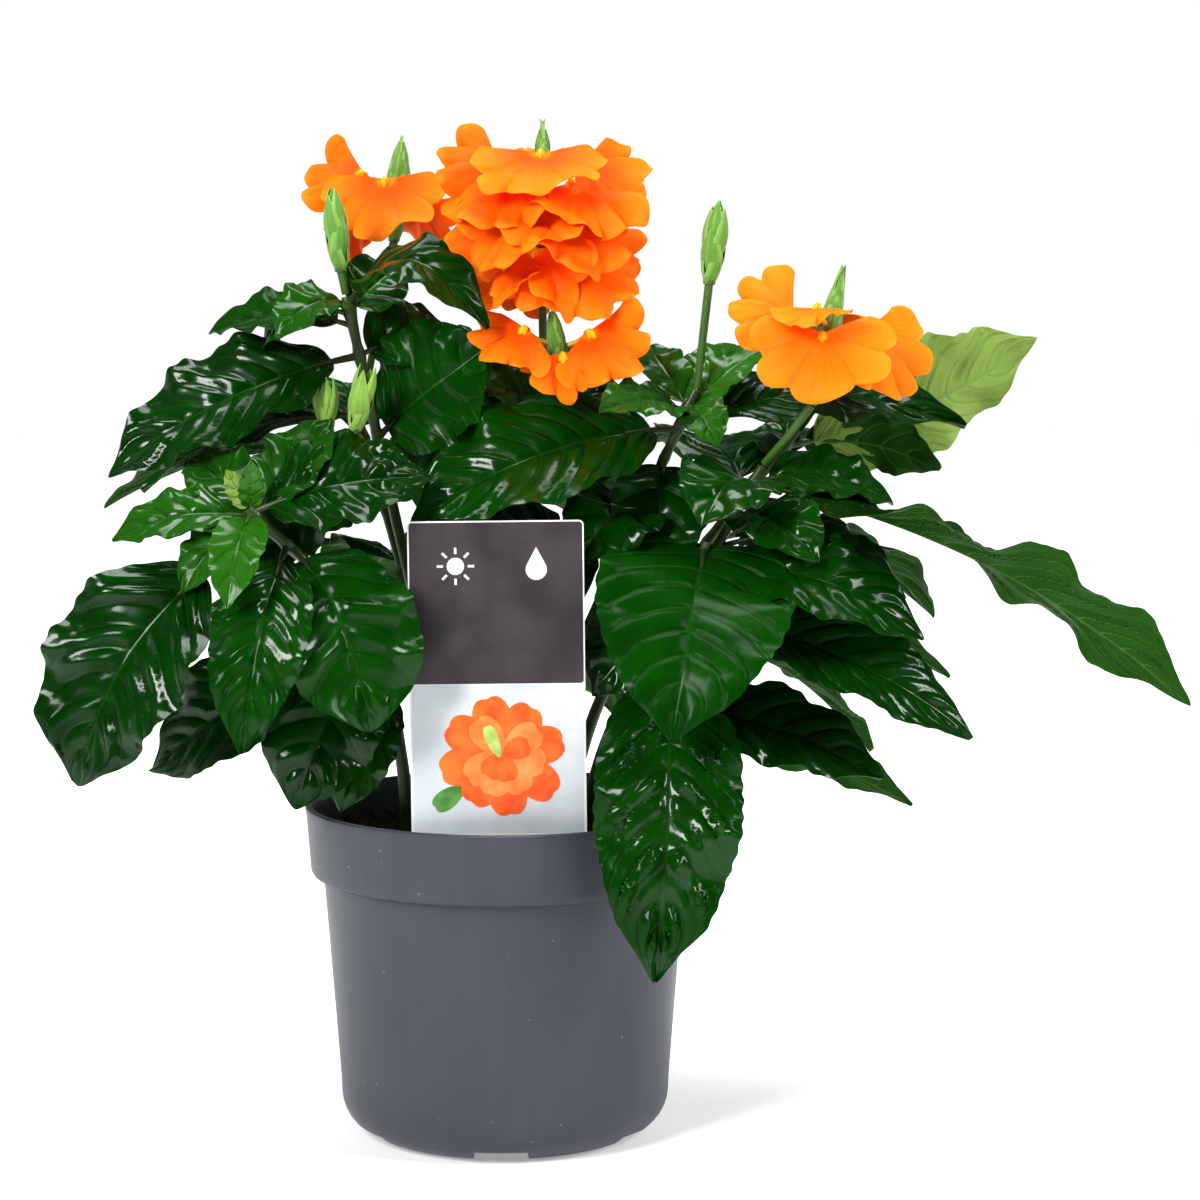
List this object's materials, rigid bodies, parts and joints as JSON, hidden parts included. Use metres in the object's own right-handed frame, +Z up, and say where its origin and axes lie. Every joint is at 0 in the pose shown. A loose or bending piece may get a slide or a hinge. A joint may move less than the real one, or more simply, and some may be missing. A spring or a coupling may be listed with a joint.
{
  "type": "potted crossandra plant",
  "caption": "Bushy flowering house plant in a round nursery pot: glossy pointed leaves, fan-shaped orange florets on green bract spikes, and a plant label.",
  "frame": {"origin": "centre of the pot's base, on the surface the pot stands on", "axes": "+Z up along the pot's axis; -Y is the front, where the label stands; +X to the right seen from the front, along the widest spread of leaves"},
  "size_m": [0.3592, 0.1997, 0.3321],
  "materials": {
    "pot": "satin",
    "soil": "loose moist peat",
    "label": "satin",
    "leaf": "glossy leaf",
    "spike": "matt, finely hairy",
    "bloom": "soft matt petal"
  },
  "bodies": {
    "root": {"pot": "pot", "soil": "soil", "label": "label", "leafy_stem_front_left": "leaf", "leafy_stem_upper_left": "leaf", "leafy_stem_centre": "leaf", "leafy_stem_right_centre": "leaf", "leafy_stem_right": "leaf", "leafy_stem_lower_right": "leaf", "leafy_stem_back_right": "leaf", "leafy_stem_back_centre": "leaf", "leafy_stem_back_left": "leaf", "spike_main": "spike", "spike_left": "spike", "spike_right": "spike", "spike_low": "spike", "spike_bud_left": "spike", "spike_bud_right": "spike", "spike_young_left": "spike", "spike_young_right": "spike", "bloom_main": "bloom", "bloom_left": "bloom", "bloom_right": "bloom", "bloom_low": "bloom"}
  },
  "joints": []
}
